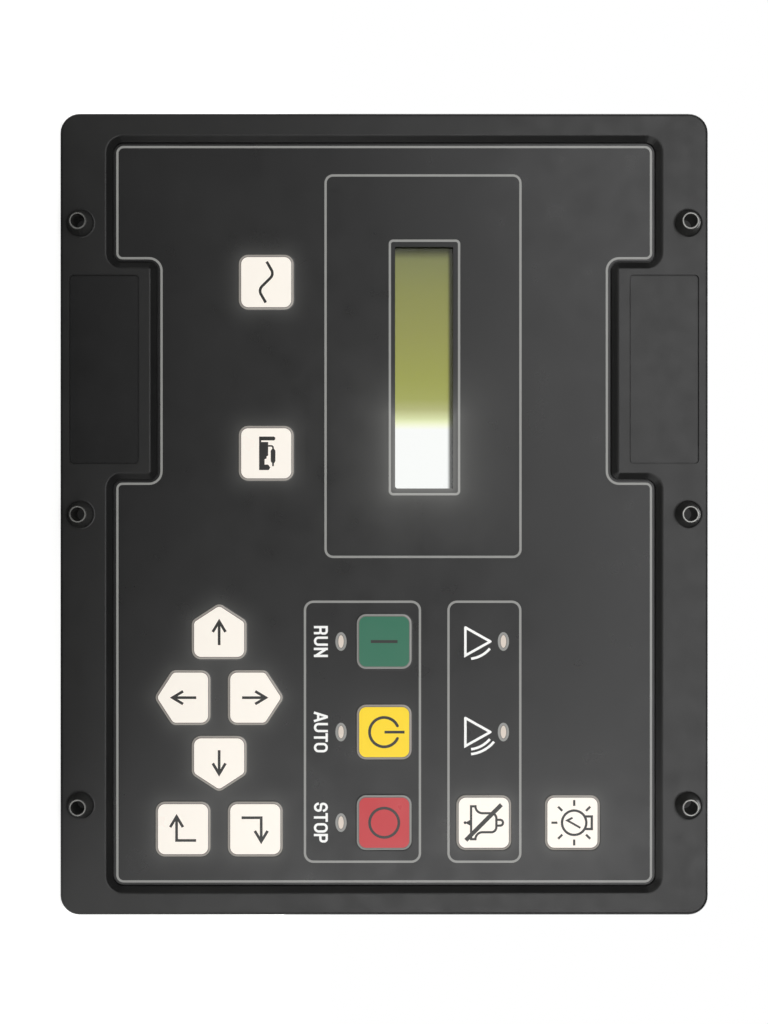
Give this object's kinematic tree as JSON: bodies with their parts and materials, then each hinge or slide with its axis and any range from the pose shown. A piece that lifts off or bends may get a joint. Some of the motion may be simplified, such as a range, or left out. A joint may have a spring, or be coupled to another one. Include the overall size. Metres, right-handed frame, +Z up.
{
  "type": "engine control module",
  "caption": "Panel-mounted engine control module: black bezel with membrane keypad, display, lamp windows and bolt bosses, on a skirted housing with a ribbed rear cover and a header.",
  "frame": {"origin": "centre of the bolt pattern, on the flange's rear face that seats on the panel", "axes": "+X to the panel's right, +Y from the face to the rear, +Z up as installed"},
  "size_m": [0.248, 0.0656, 0.2004],
  "materials": {
    "bezel_plastic": "satin moulded",
    "sleeve_steel": "zinc plated",
    "gasket_foam": "closed-cell foam",
    "label_film": "gloss",
    "overlay_film": "fine velvet texture",
    "spacer_film": "matt",
    "dome_steel": "bright",
    "circuit_film": "satin",
    "lamp_resin": "clear",
    "lens_acrylic": "gloss",
    "frame_steel": "black satin",
    "display_glass": "satin",
    "light_guide": "diffusing",
    "board_laminate": "solder mask",
    "screw_steel": "zinc plated",
    "ribbon_film": "satin",
    "chip_epoxy": "matt moulded",
    "relay_case": "satin",
    "capacitor_sleeve": "gloss",
    "coil_copper": "enamelled wire",
    "socket_nylon": "satin",
    "insert_brass": "turned",
    "cord_rubber": "moulded",
    "cover_aluminium": "black powder coat",
    "header_plastic": "moulded",
    "seal_silicone": "moulded",
    "pin_tin": "tin plated",
    "vent_plastic": "moulded"
  },
  "bodies": {
    "root": {"front_bezel": "bezel_plastic", "mounting_sleeves": "sleeve_steel", "flange_gasket": "gasket_foam", "lower_label": "label_film", "graphic_overlay": "overlay_film", "dome_spacer": "spacer_film", "snap_domes": "dome_steel", "key_circuit": "circuit_film", "key_lamps": "lamp_resin", "status_lamps": "lamp_resin", "display_window": "lens_acrylic", "display_frame": "frame_steel", "display_glass": "display_glass", "display_light": "light_guide", "display_board": "board_laminate", "display_screws": "screw_steel", "display_ribbon": "ribbon_film", "main_board": "board_laminate", "board_screws": "screw_steel", "processor_chip": "chip_epoxy", "driver_chips": "chip_epoxy", "relays": "relay_case", "capacitors": "capacitor_sleeve", "power_inductor": "coil_copper", "board_sockets": "socket_nylon", "threaded_inserts": "insert_brass", "cover_gasket": "cord_rubber", "rear_cover": "cover_aluminium", "cover_screws": "screw_steel", "header_shell": "header_plastic", "header_seal": "seal_silicone", "header_pin_block": "header_plastic", "header_pins": "pin_tin", "jackscrew_insert": "insert_brass", "header_screws": "screw_steel", "breather_vent": "vent_plastic"}
  },
  "joints": []
}
